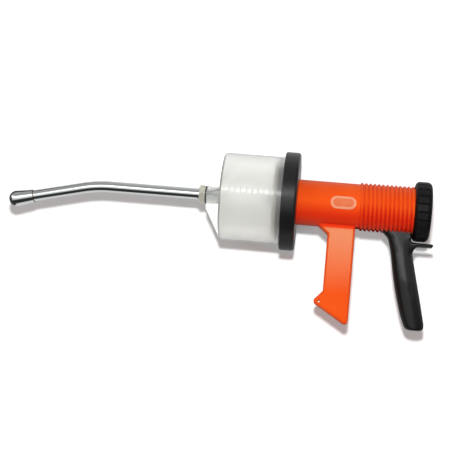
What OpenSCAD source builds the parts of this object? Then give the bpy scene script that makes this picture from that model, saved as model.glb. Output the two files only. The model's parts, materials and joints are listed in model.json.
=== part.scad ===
// Livestock drencher: a hand-squeezed dosing gun, lying on its side.
// X runs along the pump axis with the nozzle at -X, the handles point to -Y, and Z is up,
// square to the gun's mid-plane. The origin is on the pump axis, at the front face of the
// barrel cap, where a ring holder pushed over the barrel would seat. Sizes are in millimetres.

/* [Barrel] */
// Outside diameter of the barrel
barrel_d = 86.8; // [76:0.2:96]
// Length of barrel that shows in front of the cap
barrel_len = 60.5; // [54:0.5:90]
// Wall thickness of the barrel
barrel_wall = 2.4; // [1.6:0.1:3.2]
// Radius of the barrel's front corner
barrel_corner = 3.5; // [2.5:0.1:6]
// Outside diameter of the outlet neck
neck_d = 18.4; // [17:0.2:24]
// Length of the outlet neck
neck_len = 15.4; // [10:0.2:24]
// Thickness of a gusset between neck and barrel
gusset_t = 2.2; // [1.2:0.1:4]
// Height of a gusset's nose above the axis
gusset_nose = 13.5; // [12:0.1:18]
// Number of gussets round the neck
gusset_count = 4; // [3:1:8]

/* [Barrel cap] */
// Wall thickness of the cap's skirt
cap_skirt = 3.8; // [2.6:0.1:6]
// Thickness of the cap's rear web
cap_web = 3.3; // [2:0.1:5]
// Depth that the barrel's rim goes into the cap
rim_depth = 7.2; // [5:0.1:12]
// Height of the thread band on the barrel's rim
rim_band = 1.6; // [1:0.1:2.5]

/* [Nozzle] */
// Outside diameter of the nozzle tube
nozzle_d = 11.1; // [9:0.1:11.4]
// Bore of the nozzle tube
nozzle_bore = 8; // [6:0.1:8.6]
// Distance from the neck's end to the corner of the bend
nozzle_straight = 111.3; // [60:0.1:160]
// Distance from the corner of the bend to the front of the tip
nozzle_leg = 91; // [60:0.5:140]
// Angle of the bend
nozzle_bend = 13.5; // [5:0.1:30]
// Radius of the bend at the tube's centre
bend_r = 120; // [60:1:150]
// Largest diameter of the tip
tip_d = 15.8; // [14.5:0.1:20]
// Diameter of the tip where the tube goes in
tip_tail_d = 13; // [12.4:0.1:14]
// Length of the tip
tip_len = 25; // [20:0.5:35]
// Diameter of the outlet hole in the tip
outlet_d = 6; // [3:0.1:7]
// Outside diameter of the threaded tail
tail_d = 13; // [12.6:0.1:14]
// Width across flats of the lock nut
lock_nut_af = 17; // [16.5:0.1:22]
// Thickness of the lock nut
lock_nut_t = 6; // [4:0.1:10]
// Thickness of the sealing washer
lock_washer_t = 1.4; // [1:0.1:3]

/* [Body] */
// Outside diameter of the body tube
tube_d = 45.2; // [42:0.2:52]
// Wall thickness of the body tube
tube_wall = 3.5; // [2.6:0.1:4.5]
// Thickness of the flange that the cap clamps
flange_t = 3; // [2:0.1:5]
// Pitch of the dose thread
thread_pitch = 4.17; // [4:0.01:6]
// Height of the dose thread
thread_h = 1.5; // [1.2:0.1:1.8]
// Length of plain tube between the front handle and the thread
thread_lead = 4.4; // [4:0.1:12]

/* [Front handle] */
// Distance from the cap to the front handle
handle_gap = 32; // [24:0.2:45]
// Width of the front handle along the pump axis
handle_w = 26.7; // [23:0.1:34]
// Thickness of the front handle
handle_t = 19; // [14:0.5:24]
// Depth of the handles below the pump axis
handle_depth = 117; // [105:1:130]
// Reach of the toe in front of the front handle
toe_reach = 8.2; // [6:0.1:14]
// Rise of the toe's tip above the handle's end
toe_rise = 20.4; // [15:0.2:24]
// Diameter of the hanging hole in the toe
hang_hole_d = 2.3; // [1.5:0.1:4]
// Radius of the front handle's edges
handle_edge = 2.6; // [1.5:0.1:4]

/* [Rear handle] */
// Travel of the rear handle when it is squeezed
stroke = 23.5; // [15:0.5:30]
// Length of the rear handle's slide in the tube
slide_len = 30.7; // [28:0.1:45]
// Thickness of the neck that passes through the slot
neck_t = 14.8; // [10:0.2:17]
// Diameter of the rear grip at its top
grip_top_d = 21.4; // [18:0.2:24]
// Diameter of the rear grip at its end
grip_end_d = 21.8; // [18:0.2:26]
// Backward lean of the rear grip
grip_lean = 13; // [8:0.1:18]
// Reach of the thumb hook behind the slide
hook_reach = 21.8; // [16:0.2:30]
// Thickness of the thumb hook
hook_t = 4.2; // [3:0.1:6]

/* [Dose nut] */
// Width of the dose nut along the pump axis
nut_w = 16.5; // [14:0.5:26]
// Wall thickness of the dose nut outside the thread
nut_wall = 5.3; // [5:0.1:8]
// Number of finger grooves round the dose nut
nut_grooves = 22; // [12:1:30]
// Radius of a finger groove
groove_r = 1; // [0.6:0.1:1.4]

/* [Pump] */
// Diameter of the piston rod
rod_d = 10; // [9:0.1:12]
// Diameter of the rod's threaded ends
rod_end_d = 8; // [6:0.1:8.4]
// Thickness of the piston seal
seal_t = 8; // [6:0.2:12]
// Thickness of each piston plate
plate_t = 4.2; // [3:0.1:5]
// Wire diameter of the return spring
spring_wire = 2.4; // [1.6:0.1:2.8]
// Mean diameter of the return spring
spring_d = 23; // [21:0.2:25]
// Number of curls in the return spring
spring_turns = 9; // [7:1:11]

/* [Hidden] */
$fn = 96;
hull_sides = 32;
// Angles of the discs that make a softened rim, and the thickness of a slice that a hull joins
rim_steps = [0, 30, 60, 90];
hull_slice = 1;

// Overrun of every cut, and the clearances of the fits
over = 1;
thread_clear = 0.05;
run_clear = 0.2;
slide_clear = 0.3;

// Swelling of every second round piece in a run, so that its neighbours end inside it
join_swell = 0.02;

// Barrel and the stack inside its cap
barrel_r = barrel_d / 2;
bore_r = barrel_r - barrel_wall;
gasket_t = 1.5;
rim_lead = 1;
band_r = barrel_r + rim_band;
skirt_r = band_r + thread_clear;
cap_r = skirt_r + cap_skirt;
cap_front_edge = 1.6;
cap_rear_edge = 2.8;
cap_x = rim_depth + gasket_t + flange_t;
cap_end = cap_x + cap_web;
flange_x = rim_depth + gasket_t;
neck_x = -barrel_len - neck_len;
corner_share = 1 - cos(45);

// Nozzle
tail_r = tail_d / 2;
tail_hole_r = tail_r + thread_clear;
collar_t = 1.2;
nut_turning = 45;
nut_front_x = neck_x - lock_washer_t - lock_nut_t;
tail_x = nut_front_x - collar_t;
tail_end = -barrel_len;
nozzle_r = nozzle_d / 2;
bend_x = neck_x - nozzle_straight;
bend_set = bend_r * tan(nozzle_bend / 2);
tip_socket = 10;

// Body and front handle
tube_r = tube_d / 2;
tube_bore_r = tube_r - tube_wall;
crest_r = tube_r + thread_h;
handle_x = cap_end + handle_gap;
handle_back = handle_x + handle_w;
corner_r = 3.4;
gusset_run = 11.6;
gusset_drop = 9.3;
toe_y = toe_rise - handle_depth;
toe_shoulder = 9;
hole_inset = 5.2;

// Rear handle, dose nut and the end of the tube
squeeze_gap = 1;
slide_x = handle_back + squeeze_gap + stroke;
slide_back = slide_x + slide_len;
slot_w = neck_t + 2 * slide_clear;
slide_r = tube_bore_r - slide_clear;
nut_x = slide_back + slide_clear;
nut_end = nut_x + nut_w;
nut_overhang = 2.5;
tube_end = nut_end - nut_overhang;
nut_bore_r = crest_r + run_clear;
nut_r = nut_bore_r + nut_wall;
nut_front_round = 4.6;
nut_rear_round = 5;
groove_end_share = 0.84;
throat_run = 8;
throat_drop = 4.7;
toe_set = 1.2;
neck_toe_y = toe_set - tube_r;
throat_y = -crest_r - throat_drop;
hook_gap = 1.6;
hook_y = -nut_r - hook_gap;
hook_fillet = 5;
hook_curl_r = 8.2;
grip_edge = 4.4;
grip_set = 3.1;
grip_drop = 9.2;
swell_share = 0.5;
grip_top_y = hook_y - hook_t - grip_drop;

// Dose thread: each turn is two half rings, leaned by the lead
half_pitch = thread_pitch / 2;
thread_x = handle_back + thread_lead;
half_turns = floor((tube_end - thread_h - thread_x) / half_pitch);
lead_angle = asin(half_pitch / 2 / tube_r);
// Angle that a near half ring runs into the far ones
thread_join = 0.4;

// Pump pieces on the rod
rod_r = rod_d / 2;
rod_end_r = rod_end_d / 2;
rod_hole_r = rod_end_r + thread_clear;
piston_rest = 1.2;
washer_t = 1.2;
washer_r = 8;
seat_t = 1.5;
hex_af = 13;
hex_t = 6.5;
rod_spare = 1.3;
seal_groove = 1.6;
plate_gap = 1.5;
plate_r = bore_r - plate_gap;
back_plate_x = flange_x - piston_rest - plate_t;
seal_x = back_plate_x - seal_t;
front_plate_x = seal_x - plate_t;
piston_nut_x = front_plate_x - washer_t - hex_t;
boss_len = 5.3;
bush_wall = 2;
bush_r = rod_r + run_clear + bush_wall;
bush_hole_r = bush_r + thread_clear;
boss_wall = 4;
boss_r = bush_hole_r + boss_wall;
boss_end = cap_x + boss_len;
bush_flange_t = 1.6;
seat_rim = 3.2;
seat_r = spring_d / 2 + spring_wire / 2 + seat_rim;
bush_end = boss_end + bush_flange_t;
seat_depth = 6;
web_t = 10;
slide_pocket_r = seat_r + slide_clear;
slide_floor = slide_x + seat_depth;
web_back = slide_floor + web_t;
seat_x = slide_floor - seat_t;
rod_nut_x = web_back + washer_t;

// Return spring: close curls at both ends, open ones between
spring_rings = 8;
spring_sides = 6;
spring_gap = 0.6;
spring_x = bush_end + slide_clear;
spring_len = seat_x - slide_clear - spring_x;
close_pitch = spring_wire + spring_gap;
open_pitch = (spring_len - spring_wire - 2 * close_pitch) / (spring_turns - 2);

// Colours
orange = [0.92, 0.33, 0.12];
black = [0.16, 0.17, 0.17];
clear_white = [0.88, 0.89, 0.86];
chrome = [0.82, 0.83, 0.84];
steel = [0.66, 0.67, 0.66];
plated = [0.72, 0.72, 0.64];
rubber = [0.10, 0.10, 0.11];
nylon = [0.93, 0.92, 0.88];

// Cross-section of a turned piece from radius r0 to r1 and height h0 to h1, with the outer
// corners at h0 and h1 rounded by c0 and c1
module turned_profile(r0, r1, h0, h1, c0, c1) {
    translate([r0, h0 + c0]) square([r1 - r0, h1 - h0 - c0 - c1]);
    translate([r0, h0]) square([r1 - r0 - max(c0, c1), h1 - h0]);
    if (c0 > 0) {
        translate([r0, h0]) square([r1 - r0 - c0, c0]);
        translate([r1 - c0, h0 + c0]) circle(c0);
    }
    if (c1 > 0) {
        translate([r0, h1 - c1]) square([r1 - r0 - c1, c1]);
        translate([r1 - c1, h1 - c1]) circle(c1);
    }
}

// Turned piece along the pump axis, from x0 to x1
module turned(r0, r1, x0, x1, c0 = 0, c1 = 0) {
    rotate([0, 90, 0]) rotate_extrude() turned_profile(r0, r1, x0, x1, c0, c1);
}

// Solid bar along the pump axis, from x0 to x1
module bar(r, x0, x1) {
    translate([x0, 0, 0]) rotate([0, 90, 0]) cylinder(r = r, h = x1 - x0);
}

// Hexagon nut along the pump axis with a corner towards +Z, and its corners turned down
module hex_nut(af, hole_r, x0, t) {
    corner = af / 2 / cos(30);
    difference() {
        translate([x0, 0, 0]) rotate([0, 90, 0]) intersection() {
            cylinder(r = corner, h = t, $fn = 6);
            cylinder(r1 = af / 2, r2 = af / 2 + t / tan(nut_turning), h = t);
            cylinder(r1 = af / 2 + t / tan(nut_turning), r2 = af / 2, h = t);
        }
        bar(hole_r, x0 - over, x0 + t + over);
    }
}

// Disc about Z with softened rims, as the stack of discs that a hull wraps
module soft_disc(r, t, rim) {
    for (a = rim_steps) {
        step_r = r - rim * (1 - cos(a));
        cylinder(r = step_r, h = t - 2 * rim * (1 - sin(a)), center = true, $fn = hull_sides);
    }
}

// Softened disc across the front handle, at a point of its outline
module edge_disc(at) {
    translate([at.x, at.y, 0]) soft_disc(corner_r, handle_t, handle_edge);
}

// Disc across the rear grip's length, from y up by h, with softened rims
module grip_disc(x, y, r, h, rim) {
    translate([x, y + h / 2, 0]) rotate([90, 0, 0]) soft_disc(r, h, rim);
}

// Path of the nozzle's centre, filled to radius r from the tail to a distance along the leg.
// The bend is swollen a little, so both straight runs go into it cleanly.
module nozzle_run(r, leg) {
    bar(r, bend_x + bend_set - over, tail_end);
    translate([bend_x + bend_set, -bend_r, 0]) rotate([0, 0, 90])
        rotate_extrude(angle = nozzle_bend) translate([bend_r, 0]) circle(r + join_swell);
    on_leg(bend_set - over) rotate([0, -90, 0]) cylinder(r = r, h = leg - bend_set + over);
}

// Places its children on the nozzle's leg, a distance in front of the corner of the bend
module on_leg(d) {
    translate([bend_x, 0, 0]) rotate([0, 0, nozzle_bend]) translate([-d, 0, 0]) children();
}

module nozzle_tip() {
    tip_r = tip_d / 2;
    color(chrome) on_leg(nozzle_leg) rotate([0, 90, 0]) difference() {
        union() {
            translate([0, 0, tip_r]) sphere(tip_r);
            translate([0, 0, tip_r]) cylinder(r1 = tip_r, r2 = tip_tail_d / 2, h = tip_len - tip_r);
        }
        translate([0, 0, -over]) cylinder(d = outlet_d, h = tip_len + 2 * over);
        translate([0, 0, tip_len - tip_socket])
            cylinder(r = nozzle_r + thread_clear, h = tip_socket + over);
    }
}

module nozzle_tube() {
    color(chrome) difference() {
        nozzle_run(nozzle_r, nozzle_leg - tip_len + tip_socket);
        nozzle_run(nozzle_bore / 2, nozzle_leg);
        bar(nozzle_bore / 2, tail_end - over, tail_end + over);
    }
}

module nozzle_tail() {
    color(plated) turned(nozzle_r + thread_clear, tail_r, tail_x, tail_end);
}

module nozzle_nut() {
    color(plated) hex_nut(lock_nut_af, tail_hole_r, nut_front_x, lock_nut_t);
}

module nozzle_washer() {
    color(rubber) turned(tail_hole_r, lock_nut_af / 2, neck_x - lock_washer_t, neck_x);
}

// One gusset, from the neck's end to the middle of the barrel's front corner
module gusset() {
    corner_set = barrel_corner * corner_share;
    linear_extrude(gusset_t, center = true) polygon([
        [neck_x, 0],
        [neck_x, gusset_nose],
        [corner_set - barrel_len, barrel_r - corner_set],
        [barrel_wall / 2 - barrel_len, 0]
    ]);
}

module barrel() {
    color(clear_white) difference() {
        union() {
            turned(0, barrel_r, -barrel_len, rim_depth, barrel_corner, 0);
            turned(0, band_r, rim_lead, rim_depth);
            bar(neck_d / 2, neck_x, barrel_wall - barrel_len);
            for (i = [0 : gusset_count - 1])
                rotate([360 / gusset_count * i, 0, 0]) gusset();
        }
        bar(bore_r, barrel_wall - barrel_len, rim_depth + over);
        bar(tail_hole_r, neck_x - over, over - barrel_len + barrel_wall);
    }
}

module barrel_gasket() {
    color(rubber) turned(bore_r, band_r, rim_depth, rim_depth + gasket_t);
}

module barrel_cap() {
    color(black) difference() {
        turned(0, cap_r, 0, cap_end, cap_front_edge, cap_rear_edge);
        bar(skirt_r, -over, cap_x);
        bar(tube_r + slide_clear, cap_x - over, cap_end + over);
    }
}

// Half a turn of the dose thread, number k from the front
module thread_half(k) {
    near = k % 2 == 0;
    join = near ? thread_join : 0;
    wire_r = near ? thread_h : thread_h + join_swell;
    translate([thread_x + half_pitch * k, 0, 0])
        rotate([0, 0, near ? lead_angle : -lead_angle])
            rotate([near ? 0 : 180, 0, 0]) rotate([90, 0, 90]) rotate([0, 0, -join])
                rotate_extrude(angle = 180 + 2 * join) translate([tube_r, 0]) circle(wire_r);
}

// Front handle: a slab grip with a gusset under the tube and a toe at its end
module front_handle() {
    front = handle_x + corner_r;
    back = handle_back - corner_r;
    root_y = corner_r - tube_r;
    end_y = corner_r - handle_depth;
    shoulder = [front, toe_y + toe_shoulder];
    toe = [handle_x - toe_reach + corner_r, toe_y];
    hull() {
        edge_disc([front, root_y]);
        edge_disc([back, root_y]);
        edge_disc([back, end_y]);
        edge_disc([front, toe_y]);
    }
    hull() {
        edge_disc(toe);
        edge_disc(shoulder);
        edge_disc([back, end_y]);
    }
    hull() {
        edge_disc([front - gusset_run, root_y]);
        edge_disc([front, root_y - gusset_drop]);
        edge_disc([back, root_y]);
    }
}

module gun_body() {
    color(orange) difference() {
        union() {
            turned(0, band_r, flange_x, cap_x);
            bar(tube_r, flange_x, tube_end);
            front_handle();
            for (k = [0 : half_turns - 1])
                thread_half(k);
        }
        difference() {
            bar(tube_bore_r, cap_x, tube_end + over);
            bar(boss_r, cap_x - over, boss_end);
        }
        bar(bush_hole_r, flange_x - over, boss_end + over);
        translate([handle_back, -crest_r - over, -slot_w / 2])
            cube([tube_end - handle_back + over, crest_r + over, slot_w]);
        translate([handle_x - toe_reach + hole_inset, toe_y, -handle_t])
            cylinder(d = hang_hole_d, h = 2 * handle_t);
    }
}

module rod_bush() {
    color(nylon) difference() {
        union() {
            bar(bush_r, flange_x, boss_end);
            bar(seat_r, boss_end, bush_end);
        }
        bar(rod_r + run_clear, flange_x - over, bush_end + over);
    }
}

// Distance along the spring at curl t
function curl_reach(t) =
    t < 1 ? close_pitch * t :
    t < spring_turns - 1 ? close_pitch + open_pitch * (t - 1) :
    close_pitch * (t - spring_turns + 2) + open_pitch * (spring_turns - 2);

function curl_point(t, r, along) =
    [spring_x + spring_wire / 2 + curl_reach(t) + along, r * cos(360 * t), r * sin(360 * t)];

spring_count = spring_turns * spring_rings;
spring_centres = [for (i = [0 : spring_count]) curl_point(i / spring_rings, spring_d / 2, 0)];
spring_least_gap = min([
    for (i = [0 : spring_count], j = [i + spring_rings - 2 : 1 : spring_count])
        norm(spring_centres[i] - spring_centres[j])
]) - spring_wire;

module return_spring() {
    wire_r = spring_wire / 2;
    points = [
        for (i = [0 : spring_count], s = [0 : spring_sides - 1])
            let (a = 360 * s / spring_sides)
                curl_point(i / spring_rings, spring_d / 2 + wire_r * cos(a), wire_r * sin(a))
    ];
    sides = [
        for (i = [0 : spring_count - 1], s = [0 : spring_sides - 1])
            let (a = i * spring_sides + s, b = i * spring_sides + (s + 1) % spring_sides)
                each [[a, b, a + spring_sides], [b, b + spring_sides, a + spring_sides]]
    ];
    last = spring_count * spring_sides;
    ends = [
        for (s = [1 : spring_sides - 2])
            each [[0, s + 1, s], [last, last + s, last + s + 1]]
    ];
    echo(spring_least_gap = spring_least_gap);
    color(steel) polyhedron(points, concat(sides, ends));
}

module spring_seat() {
    color(steel) turned(rod_hole_r, seat_r, seat_x, slide_floor);
}

module piston_rod() {
    color(steel) union() {
        bar(rod_end_r, piston_nut_x - rod_spare, back_plate_x + plate_t);
        bar(rod_r, back_plate_x + plate_t, seat_x);
        bar(rod_end_r, seat_x, rod_nut_x + hex_t + rod_spare);
    }
}

module piston_front_plate() {
    color(nylon) turned(rod_hole_r, plate_r, front_plate_x, seal_x, plate_t / 2, 0);
}

module piston_seal() {
    color(rubber) difference() {
        turned(rod_hole_r, bore_r - run_clear, seal_x, back_plate_x, seal_groove / 2, seal_groove / 2);
        turned(bore_r - seal_groove, bore_r + over, seal_x + seal_t / 3, back_plate_x - seal_t / 3);
    }
}

module piston_back_plate() {
    color(nylon) turned(rod_hole_r, plate_r, back_plate_x, back_plate_x + plate_t, 0, plate_t / 3);
}

module piston_washer() {
    color(steel) turned(rod_hole_r, washer_r, front_plate_x - washer_t, front_plate_x);
}

module piston_nut() {
    color(steel) hex_nut(hex_af, rod_hole_r, piston_nut_x, hex_t);
}

module rod_washer() {
    color(steel) turned(rod_hole_r, washer_r, web_back, rod_nut_x);
}

module rod_nut() {
    color(steel) hex_nut(hex_af, rod_hole_r, rod_nut_x, hex_t);
}

// Slice across the rear handle at height y: a flat oval from x0 to x1, with round ends of radius r
module oval_slice(x0, x1, y, r) {
    for (x = [x0 + r, x1 - r])
        grip_disc(x, y, r, hull_slice, 0);
}

// Thumb hook behind the neck: its underside curves up to the tip, with a fillet under its root
module thumb_hook() {
    tip_x = slide_back + hook_reach;
    root_x = slide_x + throat_run + neck_t / 2;
    curl_x = tip_x - sqrt(hook_curl_r ^ 2 - (hook_curl_r - hook_t) ^ 2);
    linear_extrude(neck_t, center = true) {
        intersection() {
            translate([root_x, hook_y - hook_t]) square([tip_x - root_x, hook_t]);
            union() {
                translate([root_x, hook_y - hook_t]) square([curl_x - root_x, hook_t]);
                translate([curl_x, hook_y - hook_t + hook_curl_r]) circle(hook_curl_r);
            }
        }
        translate([slide_back + grip_set, hook_y - hook_t - hook_fillet]) difference() {
            translate([-hook_fillet, 0]) square([2 * hook_fillet, hook_fillet + hook_t / 2]);
            translate([hook_fillet, 0]) circle(hook_fillet);
        }
    }
}

// Rear grip: an oval neck through the slot, which swells into a round, leaning grip
module rear_grip() {
    neck_r = neck_t / 2;
    top_r = grip_top_d / 2;
    throat_x = slide_x + throat_run;
    grip_back = slide_back + grip_set;
    top_x = grip_back - top_r;
    end_x = top_x + (grip_top_y + handle_depth - grip_edge) * tan(grip_lean);
    swell_y = throat_y + (grip_top_y - throat_y) * swell_share;
    swell_r = neck_r + (top_r - neck_r) * swell_share;
    swell_front = throat_x + (grip_back - 2 * top_r - throat_x) * swell_share;
    swell_back = slide_back + grip_set * swell_share;
    hull() {
        oval_slice(slide_x, slide_back, 0, neck_r);
        oval_slice(slide_x, slide_back, neck_toe_y, neck_r);
    }
    hull() {
        oval_slice(slide_x, slide_back, neck_toe_y, neck_r);
        oval_slice(throat_x, slide_back, throat_y, neck_r);
    }
    hull() {
        oval_slice(throat_x, slide_back, throat_y, neck_r);
        oval_slice(swell_front, swell_back, swell_y, swell_r);
    }
    hull() {
        oval_slice(swell_front, swell_back, swell_y, swell_r);
        grip_disc(top_x, grip_top_y, top_r, hull_slice, 0);
    }
    hull() {
        grip_disc(top_x, grip_top_y, top_r, hull_slice, 0);
        grip_disc(end_x, -handle_depth, grip_end_d / 2, 2 * grip_edge, grip_edge);
    }
}

module rear_handle() {
    color(black) difference() {
        union() {
            bar(slide_r, slide_x, slide_back);
            rear_grip();
            thumb_hook();
        }
        bar(slide_pocket_r, slide_x - over, slide_floor);
        bar(rod_hole_r, slide_x, slide_back);
        bar(slide_pocket_r, web_back, slide_back + over);
    }
}

module dose_nut() {
    groove_x = nut_x + nut_w * groove_end_share;
    color(black) difference() {
        turned(0, nut_r, nut_x, nut_end, nut_front_round, nut_rear_round);
        bar(nut_bore_r, nut_x - over, nut_end + over);
        for (i = [0 : nut_grooves - 1])
            rotate([360 / nut_grooves * i, 0, 0]) translate([0, nut_r, 0])
                bar(groove_r, nut_x - over, groove_x);
    }
}

nozzle_tip();
nozzle_tube();
nozzle_tail();
nozzle_nut();
nozzle_washer();
barrel();
barrel_gasket();
barrel_cap();
gun_body();
rod_bush();
return_spring();
spring_seat();
piston_rod();
piston_front_plate();
piston_seal();
piston_back_plate();
piston_washer();
piston_nut();
rod_washer();
rod_nut();
rear_handle();
dose_nut();
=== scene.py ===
import bmesh
import bpy
import json
import math
from mathutils import Matrix, Vector


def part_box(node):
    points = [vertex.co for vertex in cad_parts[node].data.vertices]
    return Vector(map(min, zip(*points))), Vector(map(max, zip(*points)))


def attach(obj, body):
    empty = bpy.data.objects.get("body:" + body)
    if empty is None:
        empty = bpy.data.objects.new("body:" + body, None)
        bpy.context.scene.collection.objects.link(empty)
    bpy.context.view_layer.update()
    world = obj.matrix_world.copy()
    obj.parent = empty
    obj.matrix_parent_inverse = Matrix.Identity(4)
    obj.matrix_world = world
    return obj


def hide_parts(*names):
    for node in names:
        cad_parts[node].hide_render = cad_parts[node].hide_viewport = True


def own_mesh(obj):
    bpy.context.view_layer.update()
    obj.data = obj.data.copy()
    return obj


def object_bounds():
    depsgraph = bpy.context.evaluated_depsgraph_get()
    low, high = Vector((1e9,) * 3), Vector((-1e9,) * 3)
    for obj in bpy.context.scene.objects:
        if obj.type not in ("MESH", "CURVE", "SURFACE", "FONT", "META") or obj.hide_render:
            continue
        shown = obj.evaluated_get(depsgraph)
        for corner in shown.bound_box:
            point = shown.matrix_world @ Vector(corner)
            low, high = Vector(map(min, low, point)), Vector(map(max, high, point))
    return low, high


# A livestock drencher that lies on its side on a white table, seen from above.
# X runs along the pump axis with the nozzle at -X, the handles point to -Y, and Z is up.
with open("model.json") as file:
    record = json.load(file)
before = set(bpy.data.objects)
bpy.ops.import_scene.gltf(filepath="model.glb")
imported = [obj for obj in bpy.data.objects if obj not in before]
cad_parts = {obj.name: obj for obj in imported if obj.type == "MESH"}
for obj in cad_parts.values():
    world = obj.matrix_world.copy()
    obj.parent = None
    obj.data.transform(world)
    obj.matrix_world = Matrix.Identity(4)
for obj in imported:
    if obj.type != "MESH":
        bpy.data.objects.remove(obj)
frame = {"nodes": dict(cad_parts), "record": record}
cad_box = [list(corner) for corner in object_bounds()]
nodes = frame["nodes"]
mounts = {mount["name"]: mount for mount in frame["record"]["mounts"]}

# Sizes in millimetres, turned to metres by MM
MM = 0.001
TUBE_R = 22.6
BARREL_R = mounts["barrel_collar"]["dims"]["r_mm"]
# Edges flatter than this are shaded smooth
SMOOTH_ANGLE = math.radians(35)
# Points closer than this share of a piece's finest size count as one
POINT_SHARE = 0.01

# Camera: how far it leans towards the handles, its place above the gun, the point it looks at,
# its roll and its lens on a 36 mm sensor
LEAN = Matrix.Rotation(math.radians(7), 3, "X")
EYE = LEAN @ Vector((48.95, -19.87, 1200)) * MM
AIM = LEAN @ Vector((-55.42, -28.72, 0)) * MM
ROLL = math.radians(4.73)
LENS = 96.42
PICTURE_UP = LEAN @ Vector((-math.sin(ROLL), math.cos(ROLL), 0))
PICTURE_RIGHT = LEAN @ Vector((math.cos(ROLL), math.sin(ROLL), 0))

# Key light: a round soft box beside the camera, with its offset towards the picture's top,
# its width and its level
KEY_OFFSET = 240
KEY_WIDTH = 95
KEY_LEVEL = 0.84
# Light of the room on matt surfaces: a little warm light from the picture's bottom,
# and plain light from its top
FILL_LOW = [0.32, 0.2, 0.2, 1]
FILL_HIGH = [0.44, 0.47, 0.46, 1]
# Levels of the room as the gloss shows them, by the angle in degrees from the camera's direction:
# from the picture's bottom to its top, and how much of that is left from its left to its right
ROOM_BANDS = (
    (-90, 0.3), (-78, 0.2), (-70, 0.03), (-30, 0.03), (-22, 0.2), (-14, 0.6), (-6, 0.92), (12, 0.92),
    (13.8, 4.4), (21.5, 4.4), (24.5, 1.2), (33, 0.85), (40, 0.4), (54, 0.33), (76, 0.42), (90, 0.5))
ROOM_SIDES = ((-90, 0.08), (-70, 0.15), (-52, 1), (2, 1), (22, 0.25), (90, 0.15))
# Level of the room seen through the barrel
CLEAR_ROOM = 0.9

# Table: its size, how much light it scatters, how much it shows by itself near the gun,
# and how far out it starts to turn white and has done so
TABLE_R = 4000
TABLE_SIDES = 64
TABLE_SCATTER = 0.94
TABLE_GLOW = [0.08, 0.095, 0.095, 1]
TABLE_PLAIN_FROM = 330
TABLE_PLAIN_TO = 700
# Oval on the table under the body, where its own glow evens out the orange light from the body:
# the glow, the oval's middle and half sizes, and the shares of the half sizes where it is full and gone
EVENED_GLOW = [0.12, 0.23, 0.24, 1]
EVENED_MIDDLE = (66, -34)
EVENED_HALF = (82, 26)
EVENED_FULL = 0.6
EVENED_GONE = 1.15
# Level of the table seen through the barrel, below and above the pump axis in the picture; the lower level is
# painted shade
CLEAR_BELOW = 0.47
CLEAR_ABOVE = 0.64
# Level of the table in the gloss: above the gun in the picture, below its nozzle, below its body,
# whose shadow is wide, and the share that is left past the nozzle's tip
MIRRORED_ABOVE = 0.63
MIRRORED_NOZZLE = 0.74
MIRRORED_BODY = 0.3
MIRRORED_LEFT = 0.08
# Places along the table where those levels end or start
MIRRORED_NOZZLE_X = -100
MIRRORED_BODY_X = -40
MIRRORED_END_X = -278
MIRRORED_GONE_X = -305
# Places across the table where the levels below and above the gun are reached
LEVEL_LOW_Y = -45
LEVEL_HIGH_Y = 20

# Places on the orange body: where the handle starts, where its flat faces get a painted highlight,
# and where the tube's lower side turns redder as painted shade
HANDLE_FROM = -23
HANDLE_TO = -25
HIGHLIGHT_Z_FROM = 9.2
HIGHLIGHT_Z_TO = 9.48
HIGHLIGHT_TOP = -31
HIGHLIGHT_END = -88
LOW_SIDE_FROM = -1
LOW_SIDE_TO = -13
# Painted shade in the dose thread: where the thread starts, the share of painted shade by height over the
# tube, the largest such height, and where the upper side's weaker painted shade gives way to the lower side's
THREAD_FROM = 76
THREAD_TO = 78
THREAD_SHADE_BY_HEIGHT = ((-0.3, 0), (-0.1, 1), (0.04, 1), (1, 0))
THREAD_SHADE_REACH = 1
THREAD_SHADE_UPPER = 0.35
THREAD_SHADE_FROM = 3
THREAD_SHADE_TO = -7
# Depths below the dose nut's rim between which the painted shade in its grooves gives way to its ribs
RIB_FROM = 0.6
RIB_TO = 0.1

# Bare badge plate on the near side of the body's tube
BADGE_X = 60.1
BADGE_LENGTH = 25.1
BADGE_WIDTH = 12.6
BADGE_SIDES = 64
BADGE_PROUD = 0.45
BADGE_BOTTOM = 20.5
BADGE_RIM = 2.1
BADGE_STEP = 0.25
BADGE_SUNK = 0.2
BADGE_EDGE = 0.2
BADGE_STRIPS = 21
# How far up a face must point to be flat, and to be on the plate's upper side
BADGE_FLAT = 0.9
BADGE_UPPER = 0.5

# Raised marks on the barrel's near side
MARK_COUNT = 9
MARK_LAST_X = -5.8
MARK_PITCH = 5.6
MARK_TURN = math.radians(2.25)
MARK_LENGTH = 5.6
MARK_WIDTH = 0.9
MARK_PROUD = 0.3
MARK_DEEP = 0.7
MARK_EDGE = 0.2

# Soldered seam between the nozzle's tip and tube, measured back from the outlet
SEAM_BACK = 20
SEAM_R = 6.1
SEAM_WIRE = 0.8
SEAM_SIDES = 10
SEAM_STEPS = 64

# Rear grip: its mesh size, how often its edges are smoothed, and the heights where that starts
GRIP_VOXEL = 0.7
GRIP_PASSES = 60
GRIP_ROUND_FROM = -20
GRIP_ROUND_TO = -24
# Rear grip: half its thickness by height
GRIP_DEPTH = ((-22, 7.4), (-40, 9.1), (-70, 10.8), (-88, 10.4), (-102, 9.5), (-117, 8.2))
# Rear grip: where the hook starts and ends, its middle, half width and round tip, the share of its
# height that is left at its sides, and how much of the smoothing it gets
HOOK_X = 134
HOOK_BOTTOM = -40
HOOK_Y = -33.3
HOOK_HALF = 9
HOOK_TIP_X = 148.6
HOOK_TIP_R = 2.1
HOOK_TIP_SIDES = 32
HOOK_SIDE_SHARE = 0.2
HOOK_SMOOTHED = 0.25
# Rear grip: the web between neck and hook, and where it gets as little smoothing as the hook
WEB_LOW = (117, -36, -7.2)
WEB_HIGH = (128.8, -20, 7.2)
WEB_EDGE_X = 126
WEB_EDGE_Y = -31
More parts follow.
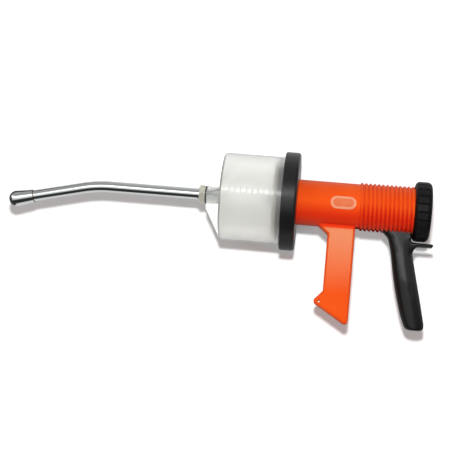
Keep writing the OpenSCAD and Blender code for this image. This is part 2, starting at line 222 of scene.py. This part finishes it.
# Rear grip: where its front and back lie, and the belly and the toe cut on its front
GRIP_FRONT = 118
GRIP_BACK = 142
BELLY = 1.6
BELLY_TOP = -40
BELLY_END = -112
TOE_CUT = 3.5
TOE_TOP = -99
TOE_END = -117

# Return spring: its wire, its width between the wire's middles, its turns, the pitch of the close turn
# at each end, and the steps drawn in a turn
SPRING_WIRE = 2.4
SPRING_D = 23
SPRING_TURNS = 9
SPRING_CLOSE_PITCH = 3.0
SPRING_STEPS = 40

# Places of a blotched finish's two colours in its pattern
BLOTCH_DARK = 0.3
BLOTCH_PALE = 0.7
# Sockets of a Mix node between two colours, and its result
MIX_A = 6
MIX_B = 7
MIX_RESULT = 2


# Helpers

def progress(start, end, value):
    """Share of the way from start to end, from 0 to 1."""
    return min(max((value - start) / (end - start), 0), 1)


def between(points, value):
    """Height at a place on a line of joined points, given from the highest place down."""
    for (start, first), (end, last) in zip(points, points[1:]):
        if value >= end:
            break
    return first + (last - first) * progress(start, end, value)


def linear(colour):
    """Turns an sRGB hex value into a linear colour."""
    parts = [int(colour[i:i + 2], 16) / 255 for i in (1, 3, 5)]
    return [c / 12.92 if c <= 0.04045 else ((c + 0.055) / 1.055) ** 2.4 for c in parts] + [1]


def grey(value):
    """A grey of this linear level."""
    return [value, value, value, 1]


def greys(stops):
    """The same stops with greys for levels."""
    return [(place, grey(level)) for place, level in stops]


def add(tree, kind, inputs=None, **settings):
    """Adds a node with these settings, and sets or links its inputs."""
    made = tree.nodes.new(kind)
    for name, value in settings.items():
        setattr(made, name, value)
    for key, value in (inputs or {}).items():
        if isinstance(value, bpy.types.NodeSocket):
            tree.links.new(value, made.inputs[key])
        else:
            made.inputs[key].default_value = value
    return made


def fill_ramp(ramp, stops):
    """Sets a colour ramp's stops, each a place and a colour."""
    while len(ramp.elements) < len(stops):
        ramp.elements.new(1)
    for element, (place, colour) in zip(ramp.elements, stops):
        element.position = place
        element.color = colour


def deselect():
    """Leaves edit mode and deselects everything, the frame's own nodes included."""
    if bpy.context.object and bpy.context.object.mode != "OBJECT":
        bpy.ops.object.mode_set(mode="OBJECT")
    bpy.ops.object.select_all(action="DESELECT")


def freeze():
    """Puts the active piece's place, turn and scale into its mesh."""
    bpy.ops.object.transform_apply(location=True, rotation=True, scale=True)


def pick(kind, test):
    """In edit mode, selects only the active piece's VERT, EDGE or FACE elements that pass the test."""
    bpy.ops.object.mode_set(mode="EDIT")
    bpy.ops.mesh.select_mode(type=kind)
    bpy.ops.mesh.select_all(action="DESELECT")
    data = bpy.context.object.data
    mesh = bmesh.from_edit_mesh(data)
    for element in {"VERT": mesh.verts, "EDGE": mesh.edges, "FACE": mesh.faces}[kind]:
        if test(element):
            element.select_set(True)
    mesh.select_flush_mode()
    bmesh.update_edit_mesh(data)


# Finishes

def new_finish(name, sockets):
    """A new material with these constants on its shader, and its node tree and shader."""
    made = bpy.data.materials.new(name)
    made.use_nodes = True
    tree = made.node_tree
    shader = tree.nodes["Principled BSDF"]
    for key, value in sockets.items():
        shader.inputs[key].default_value = value
    return made, tree, shader


def blotched(tree, size, detail, dark, pale):
    """Slow blotches of this size in millimetres: their colour between the two, and their pattern."""
    place = add(tree, "ShaderNodeTexCoord")
    cloud = add(tree, "ShaderNodeTexNoise", {
        "Vector": place.outputs["Object"], "Scale": 1 / (size * MM), "Detail": detail})
    tint = add(tree, "ShaderNodeValToRGB", {"Fac": cloud.outputs["Fac"]})
    fill_ramp(tint.color_ramp, [(BLOTCH_DARK, linear(dark)), (BLOTCH_PALE, linear(pale))])
    return tint.outputs["Color"], cloud.outputs["Fac"]


def glossed(tree, shader, pattern, smooth, rough):
    """Lets the roughness follow a pattern from smooth to rough."""
    spread = add(tree, "ShaderNodeMapRange", {"Value": pattern, "To Min": smooth, "To Max": rough})
    tree.links.new(spread.outputs["Result"], shader.inputs["Roughness"])


def lined(tree, shader, line, smooth, rough):
    """Lines in the gloss, each of this size along X, Y and Z in millimetres."""
    # Real lines are finer; these are drawn as coarse as they need to show
    place = add(tree, "ShaderNodeTexCoord")
    lines = add(tree, "ShaderNodeMapping", {
        "Vector": place.outputs["Object"], "Scale": [1 / (size * MM) for size in line]})
    noise = add(tree, "ShaderNodeTexNoise", {"Vector": lines.outputs["Vector"], "Scale": 1, "Detail": 3})
    glossed(tree, shader, noise.outputs["Fac"], smooth, rough)


def grained(tree, shader, size, depth, strength):
    """Unevenness left by the mould, with its size and depth in millimetres."""
    place = add(tree, "ShaderNodeTexCoord")
    pores = add(tree, "ShaderNodeTexNoise", {
        "Vector": place.outputs["Object"], "Scale": 1 / (size * MM), "Detail": 2})
    bump = add(tree, "ShaderNodeBump", {
        "Height": pores.outputs["Fac"], "Strength": strength, "Distance": depth * MM})
    tree.links.new(bump.outputs["Normal"], shader.inputs["Normal"])


def axis_distance(tree, place):
    """How far a point is from the pump axis."""
    across = add(tree, "ShaderNodeVectorMath", {
        0: place.outputs["Object"], 1: (0, 1, 1)}, operation="MULTIPLY")
    reach = add(tree, "ShaderNodeVectorMath", {0: across.outputs["Vector"]}, operation="LENGTH")
    return reach.outputs["Value"]


def chrome_plate():
    """Bright chrome on brass tube: mirror-like, with polishing lines round the tube."""
    made, tree, shader = new_finish("chrome_plate", {"Base Color": linear("#E3E6E6"), "Metallic": 1})
    lined(tree, shader, line=(0.4, 6, 6), smooth=0.04, rough=0.11)
    return made


def drawn_steel():
    """Stainless bar and wire: grey, with fine lines along the pump axis."""
    made, tree, shader = new_finish("drawn_steel", {"Base Color": linear("#D2D4D4"), "Metallic": 1})
    lined(tree, shader, line=(12, 0.5, 0.5), smooth=0.22, rough=0.4)
    return made


def nickel_plate():
    """Dull nickel on brass: greyed yellow, blotched by handling."""
    made, tree, shader = new_finish("nickel_plate", {"Metallic": 0.6, "Roughness": 0.42})
    tint = blotched(tree, size=3, detail=4, dark="#D8D8C6", pale="#ECECDF")[0]
    tree.links.new(tint, shader.inputs["Base Color"])
    return made


def brass_seam():
    """Soldered brass where the tip meets the tube: brown, dull."""
    made, tree, shader = new_finish("brass_seam", {"Metallic": 0.8, "Roughness": 0.45})
    tint = blotched(tree, size=2, detail=3, dark="#5A4630", pale="#8A7250")[0]
    tree.links.new(tint, shader.inputs["Base Color"])
    return made


def moulded(name, dark, pale, blotch, grain, depth, rough, sockets, vary=0.05):
    """Moulded plastic or rubber: slow blotches of colour and gloss, and a fine grain from the mould."""
    made, tree, shader = new_finish(name, sockets)
    tint, pattern = blotched(tree, size=blotch, detail=3, dark=dark, pale=pale)
    tree.links.new(tint, shader.inputs["Base Color"])
    glossed(tree, shader, pattern, rough - vary, rough + vary)
    grained(tree, shader, grain, depth, strength=0.5)
    return made


def black_nylon():
    """Satin black nylon: dark grey in the light, with a fine moulded grain."""
    return moulded("black_nylon", "#121313", "#171818", blotch=25, grain=0.9, depth=0.008, rough=0.3,
                   sockets={"IOR": 1.53})


def smooth_nylon():
    """Black nylon from a polished mould, for the rear handle: smooth, with a soft gloss."""
    return moulded("smooth_nylon", "#101111", "#151616", blotch=25, grain=4, depth=0.01, rough=0.2,
                   sockets={"IOR": 1.53, "Specular IOR Level": 0.28})


def nylon_with_painted_groove_shade():
    """Black nylon with a coarser skin, for the dose nut: little gloss, and painted shade that turns its
    grooves near black.
    """
    made = moulded("nylon_with_painted_groove_shade", "#0F1010", "#141515", blotch=9, grain=0.7, depth=0.02, rough=0.5,
                   sockets={"IOR": 1.53, "Specular IOR Level": 0.2})
    tree = made.node_tree
    base = tree.nodes["Principled BSDF"].inputs["Base Color"]
    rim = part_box("dose_nut")[1].y
    place = add(tree, "ShaderNodeTexCoord")
    rib = add(tree, "ShaderNodeMapRange", {
        "Value": axis_distance(tree, place), "From Min": rim - RIB_FROM * MM, "From Max": rim - RIB_TO * MM})
    # Painted shade: the grooves are mixed towards near black, and the ribs keep the plain colour
    skin = add(tree, "ShaderNodeMix", {
        0: rib.outputs["Result"], MIX_A: linear("#030303"), MIX_B: base.links[0].from_socket},
        data_type="RGBA")
    tree.links.new(skin.outputs[MIX_RESULT], base)
    return made


def black_rubber():
    """Moulded rubber: matt black."""
    return moulded("black_rubber", "#101415", "#171C1E", blotch=12, grain=0.8, depth=0.03, rough=0.65,
                   sockets={"IOR": 1.52})


def natural_nylon():
    """Uncoloured nylon: warm white, slightly waxy."""
    return moulded("natural_nylon", "#DEDACD", "#E8E5DA", blotch=15, grain=0.8, depth=0.01, rough=0.45,
                   sockets={"IOR": 1.53})


def milky_polypropylene():
    """Unpigmented polypropylene: milky under a glossy skin, lets a blurred view of the inside through."""
    return moulded("milky_polypropylene", "#F4F5F1", "#FAFAF8", blotch=22, grain=1.5, depth=0.01, rough=0.295,
                   vary=0.012, sockets={
                       "IOR": 1.49, "Transmission Weight": 0.92,
                       "Coat Weight": 1, "Coat IOR": 1.6, "Coat Roughness": 0.08})


def coral_rim():
    """Pale coral paint on the badge plate's rim."""
    return moulded("coral_rim", "#D98A66", "#DD9675", blotch=5, grain=0.8, depth=0.01, rough=0.4,
                   sockets={"IOR": 1.49})


def coral_field():
    """Darker coral paint in the badge plate's bare field."""
    return moulded("coral_field", "#CC643A", "#D27146", blotch=5, grain=0.8, depth=0.01, rough=0.4,
                   sockets={"IOR": 1.49})


def painted_shade_below(tree, parts, handle, colour):
    """The colour, turned redder on the tube's lower side as painted shade."""
    turned = add(tree, "ShaderNodeMapRange", {
        "Value": parts.outputs["Y"], "From Min": LOW_SIDE_FROM * MM, "From Max": LOW_SIDE_TO * MM})
    low = add(tree, "ShaderNodeMath", {
        0: turned.outputs["Result"], 1: handle.outputs["Result"]}, operation="SUBTRACT", use_clamp=True)
    # Painted shade: the tube's lower side is mixed towards a darker red
    skin = add(tree, "ShaderNodeMix", {
        0: low.outputs["Value"], MIX_A: colour, MIX_B: linear("#D62B0F")}, data_type="RGBA")
    return skin.outputs[MIX_RESULT]


def painted_face_highlight(tree, parts, handle, colour):
    """The colour, made paler on the handle's flat faces by a painted highlight, most of all at their top."""
    depth = add(tree, "ShaderNodeMath", {0: parts.outputs["Z"]}, operation="ABSOLUTE")
    face = add(tree, "ShaderNodeMapRange", {
        "Value": depth.outputs["Value"], "From Min": HIGHLIGHT_Z_FROM * MM, "From Max": HIGHLIGHT_Z_TO * MM})
    fade = add(tree, "ShaderNodeMapRange", {
        "Value": parts.outputs["Y"], "From Min": HIGHLIGHT_END * MM, "From Max": HIGHLIGHT_TOP * MM})
    highlight_fade = add(tree, "ShaderNodeMath", {
        0: face.outputs["Result"], 1: fade.outputs["Result"]}, operation="MULTIPLY")
    highlight_share = add(tree, "ShaderNodeMath", {
        0: highlight_fade.outputs["Value"], 1: handle.outputs["Result"]}, operation="MULTIPLY")
    # Painted highlight: the flat faces are mixed towards a paler coral, most near their top
    skin = add(tree, "ShaderNodeMix", {
        0: highlight_share.outputs["Value"], MIX_A: colour, MIX_B: linear("#D8825C")}, data_type="RGBA")
    return skin.outputs[MIX_RESULT]


def painted_thread_shade(tree, place, parts, colour):
    """The colour, darkened by painted shade in the dose thread's grooves, most of all on the lower side."""
    height = add(tree, "ShaderNodeMapRange", {
        "Value": axis_distance(tree, place),
        "From Min": (TUBE_R - THREAD_SHADE_REACH) * MM, "From Max": (TUBE_R + THREAD_SHADE_REACH) * MM})
    groove = add(tree, "ShaderNodeValToRGB", {"Fac": height.outputs["Result"]})
    fill_ramp(groove.color_ramp, [
        (progress(-THREAD_SHADE_REACH, THREAD_SHADE_REACH, over_tube), shade)
        for over_tube, shade in greys(THREAD_SHADE_BY_HEIGHT)])
    threaded = add(tree, "ShaderNodeMapRange", {
        "Value": parts.outputs["X"], "From Min": THREAD_FROM * MM, "From Max": THREAD_TO * MM})
    lower = add(tree, "ShaderNodeMapRange", {
        "Value": parts.outputs["Y"], "From Min": THREAD_SHADE_FROM * MM, "From Max": THREAD_SHADE_TO * MM,
        "To Min": THREAD_SHADE_UPPER})
    most = add(tree, "ShaderNodeMath", {
        0: lower.outputs["Result"], 1: threaded.outputs["Result"]}, operation="MULTIPLY")
    thread_shade = add(tree, "ShaderNodeMath", {
        0: groove.outputs["Color"], 1: most.outputs["Value"]}, operation="MULTIPLY")
    # Painted shade: the grooves, most of all on the lower side, are mixed towards a dark red
    skin = add(tree, "ShaderNodeMix", {
        0: thread_shade.outputs["Value"], MIX_A: colour, MIX_B: linear("#C2190D")}, data_type="RGBA")
    return skin.outputs[MIX_RESULT]


def orange_moulding():
    """Satin orange polypropylene: even colour, with painted shade on the tube's lower side and in the dose
    thread, and a painted highlight on the handle's flat faces.
    """
    made, tree, shader = new_finish("orange_moulding", {
        "IOR": 1.49, "Specular IOR Level": 0.5, "Specular Tint": [1, 0.85, 0.2, 1]})
    tint, pattern = blotched(tree, size=40, detail=3, dark="#D9430F", pale="#DF4C15")
    place = add(tree, "ShaderNodeTexCoord")
    parts = add(tree, "ShaderNodeSeparateXYZ", {"Vector": place.outputs["Object"]})
    handle = add(tree, "ShaderNodeMapRange", {
        "Value": parts.outputs["Y"], "From Min": HANDLE_FROM * MM, "From Max": HANDLE_TO * MM})
    skin = painted_shade_below(tree, parts, handle, tint)
    skin = painted_face_highlight(tree, parts, handle, skin)
    skin = painted_thread_shade(tree, place, parts, skin)
    tree.links.new(skin, shader.inputs["Base Color"])
    glossed(tree, shader, pattern, smooth=0.4, rough=0.52)
    grained(tree, shader, size=6, depth=0.02, strength=0.3)
    return made


SLOT_FINISHES = {
    "chrome_plate": chrome_plate(),
    "plated_brass": nickel_plate(),
    "stainless_steel": drawn_steel(),
    "black_rubber": black_rubber(),
    "clear_polypropylene": milky_polypropylene(),
    "black_nylon": black_nylon(),
    "orange_moulding": orange_moulding(),
    "natural_nylon": natural_nylon(),
}
# Nodes whose finish differs from the rest of their slot
NODE_FINISHES = {
    "dose_nut": nylon_with_painted_groove_shade(),
    "nozzle_tail": SLOT_FINISHES["chrome_plate"],
}
for row in frame["record"]["subparts"]:
    for holder in nodes[row["node"]].material_slots:
        holder.material = NODE_FINISHES.get(row["node"], SLOT_FINISHES[row["material_slot"]])


# Pieces

def settle(name, body, slot, material=None, replaced=()):
    """Names the active piece, puts its place into its mesh, and gives it a body and a finish."""
    piece = bpy.context.object
    if piece.mode != "OBJECT":
        bpy.ops.object.mode_set(mode="OBJECT")
    piece.name = name
    piece.data.name = name
    freeze()
    bpy.ops.object.shade_smooth_by_angle(angle=SMOOTH_ANGLE)
    if not piece.data.materials:
        piece.data.materials.append(material or SLOT_FINISHES[slot])
    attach(piece, body)
    if replaced:
        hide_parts(*replaced)


def badge_plate():
    """Bare plate with round ends and a raised rim, curved to the body's tube and seated in its wall."""
    deselect()
    top = TUBE_R + BADGE_PROUD
    bpy.ops.mesh.primitive_cylinder_add(
        vertices=BADGE_SIDES, radius=BADGE_WIDTH / 2 * MM, depth=(top - BADGE_BOTTOM) * MM,
        location=(BADGE_X * MM, 0, (top + BADGE_BOTTOM) / 2 * MM))
    plate = bpy.context.object
    for side in (-1, 1):
        pick("VERT", lambda vert: vert.co.x * side > BADGE_EDGE * MM)
        bpy.ops.transform.translate(value=(side * (BADGE_LENGTH - BADGE_WIDTH) / 2 * MM, 0, 0))
    plate.data.materials.append(coral_rim())
    plate.data.materials.append(coral_field())
    pick("FACE", lambda face: face.normal.z > BADGE_FLAT)
    bpy.ops.mesh.inset(thickness=BADGE_RIM * MM)
    bpy.ops.mesh.inset(thickness=BADGE_STEP * MM, depth=-BADGE_SUNK * MM)
    plate.active_material_index = 1
    bpy.ops.object.material_slot_assign()
    pick("EDGE", lambda edge: sorted(
        face.normal.z > BADGE_UPPER for face in edge.link_faces) == [False, True])
    bpy.ops.mesh.bevel(offset=BADGE_EDGE * MM, segments=2)
    bpy.ops.object.mode_set(mode="OBJECT")
    freeze()
    for strip in range(1, BADGE_STRIPS):
        pick("VERT", lambda vert: True)
        cut_y = (strip / BADGE_STRIPS - 0.5) * BADGE_WIDTH * MM
        bpy.ops.mesh.bisect(
            plane_co=(0, cut_y, 0), plane_no=(0, 1, 0), threshold=BADGE_EDGE * POINT_SHARE * MM)
    bpy.ops.object.mode_set(mode="OBJECT")
    for vert in plate.data.vertices:
        vert.co.z -= TUBE_R * MM - math.sqrt((TUBE_R * MM) ** 2 - vert.co.y ** 2)
    settle("badge_plate", "gun", "orange_moulding")


def barrel_marks():
    """Row of low ribs on the barrel, one modelled and the rest copied along the axis."""
    deselect()
    middle = BARREL_R + (MARK_PROUD - MARK_DEEP) / 2
    bpy.ops.mesh.primitive_cube_add(
        size=1, scale=(MARK_WIDTH * MM, MARK_LENGTH * MM, (MARK_PROUD + MARK_DEEP) * MM),
        location=(MARK_LAST_X * MM, 0, middle * MM))
    freeze()
    pick("EDGE", lambda edge: all(vert.co.z > middle * MM for vert in edge.verts))
    bpy.ops.mesh.bevel(offset=MARK_EDGE * MM, segments=3)
    bpy.ops.object.mode_set(mode="OBJECT")
    mark = bpy.context.object
    mark.rotation_euler.x = -MARK_TURN
    freeze()
    row = mark.modifiers.new("row", "ARRAY")
    row.count = MARK_COUNT
    row.use_relative_offset = False
    row.use_constant_offset = True
    row.constant_offset_displace = (-MARK_PITCH * MM, 0, 0)
    bpy.ops.object.modifier_apply(modifier=row.name)
    settle("barrel_marks", "gun", "clear_polypropylene")


def tip_seam():
    """Bead of brown solder in the corner between the nozzle's tip and its tube."""
    leg = Vector(mounts["outlet"]["axis"])
    centre = Vector(mounts["outlet"]["pos_m"]) - leg * SEAM_BACK * MM
    deselect()
    bpy.ops.mesh.primitive_circle_add(
        vertices=SEAM_SIDES, radius=SEAM_WIRE / 2 * MM, location=centre + Vector((0, 0, SEAM_R * MM)),
        rotation=(math.pi / 2, 0, math.atan2(leg.y, leg.x)))
    pick("VERT", lambda vert: True)
    bpy.ops.mesh.spin(steps=SEAM_STEPS, angle=2 * math.pi, center=centre, axis=leg)
    bpy.ops.mesh.select_all(action="SELECT")
    bpy.ops.mesh.remove_doubles(threshold=SEAM_WIRE * POINT_SHARE * MM)
    bpy.ops.mesh.normals_make_consistent(inside=False)
    settle("tip_seam", "gun", "plated_brass", brass_seam())


def grip_blank():
    """The rear handle with a web and a round hook tip added, under one closed skin."""
    deselect()
    bpy.ops.mesh.primitive_cube_add(
        size=1, location=[(low + high) / 2 * MM for low, high in zip(WEB_LOW, WEB_HIGH)],
        scale=[(high - low) * MM for low, high in zip(WEB_LOW, WEB_HIGH)])
    freeze()
    web = bpy.context.object
    bpy.ops.mesh.primitive_cylinder_add(
        vertices=HOOK_TIP_SIDES, radius=HOOK_TIP_R * MM, depth=2 * HOOK_HALF * MM,
        location=(HOOK_TIP_X * MM, HOOK_Y * MM, 0))
    freeze()
    web.select_set(True)
    grip = bpy.data.objects.new("rear_grip", nodes["rear_handle"].data.copy())
    grip.data.materials.clear()
    bpy.context.scene.collection.objects.link(grip)
    grip.select_set(True)
    bpy.context.view_layer.objects.active = grip
    bpy.ops.object.join()
    pick("VERT", lambda vert: True)
    bpy.ops.mesh.remove_doubles(threshold=GRIP_VOXEL * POINT_SHARE * MM)
    bpy.ops.object.mode_set(mode="OBJECT")
    skin = grip.modifiers.new("skin", "REMESH")
    skin.mode = "VOXEL"
    skin.voxel_size = GRIP_VOXEL * MM
    bpy.ops.object.modifier_apply(modifier=skin.name)
    return grip


def on_hook(x, y):
    """Whether a place in millimetres is on the rear grip's hook."""
    return x > HOOK_X and y > HOOK_BOTTOM


def rear_grip():
    """Rear handle with its edges rounded below the tube, a full neck, a belly and its toe cut back."""
    grip = grip_blank()
    deepest = {}
    for vert in grip.data.vertices:
        if not on_hook(vert.co.x / MM, vert.co.y / MM):
            step = round(vert.co.y / MM)
            deepest[step] = max(deepest.get(step, 0), abs(vert.co.z))
    below = grip.vertex_groups.new(name="below")
    for vert in grip.data.vertices:
        x, y, z = (place / MM for place in vert.co)
        if on_hook(x, y):
            height = math.sqrt(max(1 - (z / HOOK_HALF) ** 2, HOOK_SIDE_SHARE ** 2))
            vert.co.y = (HOOK_Y + (y - HOOK_Y) * height) * MM
        elif y < GRIP_DEPTH[0][0]:
            vert.co.z *= between(GRIP_DEPTH, y) * MM / deepest[round(y)]
        thin_from = HOOK_X if y < WEB_EDGE_Y else WEB_EDGE_X
        smoothed = HOOK_SMOOTHED if x > thin_from else 1
        below.add([vert.index], smoothed * progress(GRIP_ROUND_FROM, GRIP_ROUND_TO, y), "REPLACE")
        ahead = progress(GRIP_BACK, GRIP_FRONT, x)
        belly = BELLY * math.sin(math.pi * progress(BELLY_TOP, BELLY_END, y))
        toe = TOE_CUT * progress(TOE_TOP, TOE_END, y) ** 2
        vert.co.x += (toe - belly) * ahead * MM
    soften = grip.modifiers.new("edges", "SMOOTH")
    soften.iterations = GRIP_PASSES
    soften.vertex_group = below.name
    bpy.ops.object.modifier_apply(modifier=soften.name)
    settle("rear_grip", "plunger", "black_nylon", smooth_nylon(), ["rear_handle"])


def coil_rise(turn, open_pitch):
    """Rise of the coil after so many turns, in millimetres, with a close turn at each end."""
    close = min(turn, 1) + max(turn - SPRING_TURNS + 1, 0)
    return close * SPRING_CLOSE_PITCH + (turn - close) * open_pitch


def coil_spring():
    """Return spring of round wire, with a close turn at each end."""
    front, rear = (corner.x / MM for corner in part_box("return_spring"))
    open_pitch = (rear - front - SPRING_WIRE - 2 * SPRING_CLOSE_PITCH) / (SPRING_TURNS - 2)
    wire = bpy.data.curves.new("coil_spring", "CURVE")
    wire.dimensions = "3D"
    wire.bevel_depth = SPRING_WIRE / 2 * MM
    wire.bevel_resolution = 4
    wire.use_fill_caps = True
    line = wire.splines.new("POLY")
    line.points.add(SPRING_TURNS * SPRING_STEPS)
    reach = SPRING_D / 2
    for step, point in enumerate(line.points):
        turn = step / SPRING_STEPS
        along = front + SPRING_WIRE / 2 + coil_rise(turn, open_pitch)
        angle = 2 * math.pi * turn
        point.co = (along * MM, reach * math.cos(angle) * MM, reach * math.sin(angle) * MM, 1)
    spring = bpy.data.objects.new("coil_spring", wire)
    bpy.context.scene.collection.objects.link(spring)
    deselect()
    spring.select_set(True)
    bpy.context.view_layer.objects.active = spring
    bpy.ops.object.convert(target="MESH")
    settle("coil_spring", "gun", "stainless_steel", replaced=["return_spring"])
    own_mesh(bpy.context.object)


badge_plate()
barrel_marks()
tip_seam()
rear_grip()
coil_spring()


# Camera, table and light

def camera():
    """Camera high above the gun, leaning towards the handles."""
    made = bpy.data.objects.new("camera", bpy.data.cameras.new("camera"))
    bpy.context.scene.collection.objects.link(made)
    ahead = (AIM - EYE).normalized()
    right = ahead.cross(PICTURE_UP).normalized()
    up = right.cross(ahead)
    made.matrix_world = Matrix((
        (right.x, up.x, -ahead.x, EYE.x),
        (right.y, up.y, -ahead.y, EYE.y),
        (right.z, up.z, -ahead.z, EYE.z),
        (0, 0, 0, 1)))
    made.data.lens = LENS
    bpy.context.scene.camera = made


def rays(tree):
    """Masks of rays in the gloss, of those that came through the barrel, and of these and the camera's."""
    path = add(tree, "ShaderNodeLightPath")
    through = add(tree, "ShaderNodeMath", {0: path.outputs["Transmission Depth"], 1: 1}, operation="MINIMUM")
    seen = add(tree, "ShaderNodeMath", {
        0: path.outputs["Is Camera Ray"], 1: through.outputs["Value"]}, operation="MAXIMUM")
    return path.outputs["Is Glossy Ray"], through.outputs["Value"], seen.outputs["Value"]


def table_glow(tree, place):
    """What the table shows by itself: little near the gun, more under the body, and white further out."""
    oval = add(tree, "ShaderNodeMapping", {
        "Vector": place.outputs["Object"], "Location": [size * MM for size in EVENED_MIDDLE] + [0],
        "Scale": [size * MM for size in EVENED_HALF] + [1]}, vector_type="TEXTURE")
    out = add(tree, "ShaderNodeVectorMath", {0: oval.outputs["Vector"]}, operation="LENGTH")
    inside = add(tree, "ShaderNodeMapRange", {
        "Value": out.outputs["Value"], "From Min": EVENED_GONE, "From Max": EVENED_FULL},
        interpolation_type="SMOOTHSTEP")
    near = add(tree, "ShaderNodeMix", {
        0: inside.outputs["Result"], MIX_A: TABLE_GLOW, MIX_B: EVENED_GLOW}, data_type="RGBA")
    away = add(tree, "ShaderNodeVectorMath", {0: place.outputs["Object"]}, operation="LENGTH")
    far = add(tree, "ShaderNodeMapRange", {
        "Value": away.outputs["Value"], "From Min": TABLE_PLAIN_FROM * MM, "From Max": TABLE_PLAIN_TO * MM},
        interpolation_type="SMOOTHSTEP")
    shown = add(tree, "ShaderNodeMix", {
        0: far.outputs["Result"], MIX_A: near.outputs[MIX_RESULT], MIX_B: grey(1)}, data_type="RGBA")
    return shown.outputs[MIX_RESULT]


def table_mirrored(tree, parts):
    """Level of the table in the gloss, lower in the body's wide shadow and past the nozzle's tip."""
    below = add(tree, "ShaderNodeMapRange", {
        "Value": parts.outputs["X"], "From Min": MIRRORED_NOZZLE_X * MM, "From Max": MIRRORED_BODY_X * MM,
        "To Min": MIRRORED_NOZZLE, "To Max": MIRRORED_BODY})
    level = add(tree, "ShaderNodeMapRange", {
        "Value": parts.outputs["Y"], "From Min": LEVEL_LOW_Y * MM, "From Max": LEVEL_HIGH_Y * MM,
        "To Min": below.outputs["Result"], "To Max": MIRRORED_ABOVE})
    past_tip = add(tree, "ShaderNodeMapRange", {
        "Value": parts.outputs["X"], "From Min": MIRRORED_GONE_X * MM, "From Max": MIRRORED_END_X * MM,
        "To Min": MIRRORED_LEFT})
    kept = add(tree, "ShaderNodeMath", {
        0: level.outputs["Result"], 1: past_tip.outputs["Result"]}, operation="MULTIPLY")
    return kept.outputs["Value"]


def white_table():
    """White top that keeps the gun's shadow, and has levels of its own in the gloss and behind the barrel."""
    made = bpy.data.materials.new("white_table")
    made.use_nodes = True
    tree = made.node_tree
    tree.nodes.clear()
    place = add(tree, "ShaderNodeTexCoord")
    parts = add(tree, "ShaderNodeSeparateXYZ", {"Vector": place.outputs["Object"]})
    glossy, through, seen = rays(tree)
    behind = add(tree, "ShaderNodeMapRange", {
        "Value": parts.outputs["Y"], "From Min": LEVEL_LOW_Y * MM, "From Max": LEVEL_HIGH_Y * MM,
        "To Min": CLEAR_BELOW, "To Max": CLEAR_ABOVE})
    clear = add(tree, "ShaderNodeMix", {
        0: through, MIX_A: table_glow(tree, place), MIX_B: behind.outputs["Result"]}, data_type="RGBA")
    scatter = add(tree, "ShaderNodeBsdfDiffuse", {"Color": grey(TABLE_SCATTER)})
    glow = add(tree, "ShaderNodeEmission", {"Color": clear.outputs[MIX_RESULT], "Strength": seen})
    both = add(tree, "ShaderNodeAddShader", {0: scatter.outputs["BSDF"], 1: glow.outputs["Emission"]})
    mirrored = add(tree, "ShaderNodeEmission", {"Strength": table_mirrored(tree, parts)})
    mirror = add(tree, "ShaderNodeMath", {0: glossy, 1: through}, operation="SUBTRACT", use_clamp=True)
    surface = add(tree, "ShaderNodeMixShader", {
        0: mirror.outputs["Value"], 1: both.outputs["Shader"], 2: mirrored.outputs["Emission"]})
    add(tree, "ShaderNodeOutputMaterial", {"Surface": surface.outputs["Shader"]})
    return made


def table():
    """Round table top under the lowest point of the gun."""
    deselect()
    bpy.ops.mesh.primitive_circle_add(
        vertices=TABLE_SIDES, radius=TABLE_R * MM, fill_type="NGON", location=(0, 0, cad_box[0][2]))
    top = bpy.context.object
    top.name = "table"
    top.data.materials.append(white_table())


def key_light():
    """Round soft box beside the camera; it gives the shadow, and the room gives the reflections."""
    lamp = bpy.data.objects.new("key", bpy.data.lights.new("key", "AREA"))
    bpy.context.scene.collection.objects.link(lamp)
    lamp.location = EYE + PICTURE_UP * KEY_OFFSET * MM
    reach = lamp.location - Vector((AIM.x, AIM.y, cad_box[0][2]))
    lamp.rotation_euler = reach.to_track_quat("Z", "Y").to_euler()
    lamp.data.shape = "DISK"
    lamp.data.size = KEY_WIDTH * MM
    # A white surface that faces the lamp shows its power / (pi * pi * distance squared)
    lamp.data.energy = KEY_LEVEL * math.pi * math.pi * reach.length_squared
    lamp.visible_glossy = False
    lamp.visible_transmission = False


def room_ramp(tree, ray, towards, stops):
    """Colours by the angle at which a ray leaves the camera's direction towards one side."""
    share = add(tree, "ShaderNodeVectorMath", {
        0: ray.outputs["Generated"], 1: towards}, operation="DOT_PRODUCT")
    place = add(tree, "ShaderNodeMapRange", {
        "Value": share.outputs["Value"], "From Min": -1, "From Max": 1})
    levels = add(tree, "ShaderNodeValToRGB", {"Fac": place.outputs["Result"]})
    fill_ramp(levels.color_ramp, [
        (progress(-1, 1, math.sin(math.radians(angle))), colour) for angle, colour in stops])
    return levels.outputs["Color"]


def studio():
    """White room with long soft boxes overhead, which the chrome shows as bands along the tube."""
    world = bpy.data.worlds.new("studio")
    bpy.context.scene.world = world
    world.use_nodes = True
    tree = world.node_tree
    tree.nodes.clear()
    ray = add(tree, "ShaderNodeTexCoord")
    bands = room_ramp(tree, ray, PICTURE_UP, greys(ROOM_BANDS))
    sides = room_ramp(tree, ray, PICTURE_RIGHT, greys(ROOM_SIDES))
    gloss = add(tree, "ShaderNodeMath", {0: bands, 1: sides}, operation="MULTIPLY")
    fill = room_ramp(tree, ray, PICTURE_UP, ((-90, FILL_LOW), (90, FILL_HIGH)))
    glossy, through, seen = rays(tree)
    light = add(tree, "ShaderNodeMix", {
        0: glossy, MIX_A: fill, MIX_B: gloss.outputs["Value"]}, data_type="RGBA")
    open_sky = add(tree, "ShaderNodeMix", {
        0: through, MIX_A: grey(1), MIX_B: grey(CLEAR_ROOM)}, data_type="RGBA")
    colour = add(tree, "ShaderNodeMix", {
        0: seen, MIX_A: light.outputs[MIX_RESULT], MIX_B: open_sky.outputs[MIX_RESULT]}, data_type="RGBA")
    sky = add(tree, "ShaderNodeBackground", {"Color": colour.outputs[MIX_RESULT], "Strength": 1})
    add(tree, "ShaderNodeOutputWorld", {"Surface": sky.outputs["Background"]})


bpy.context.scene.view_settings.view_transform = "Standard"
camera()
table()
key_light()
studio()
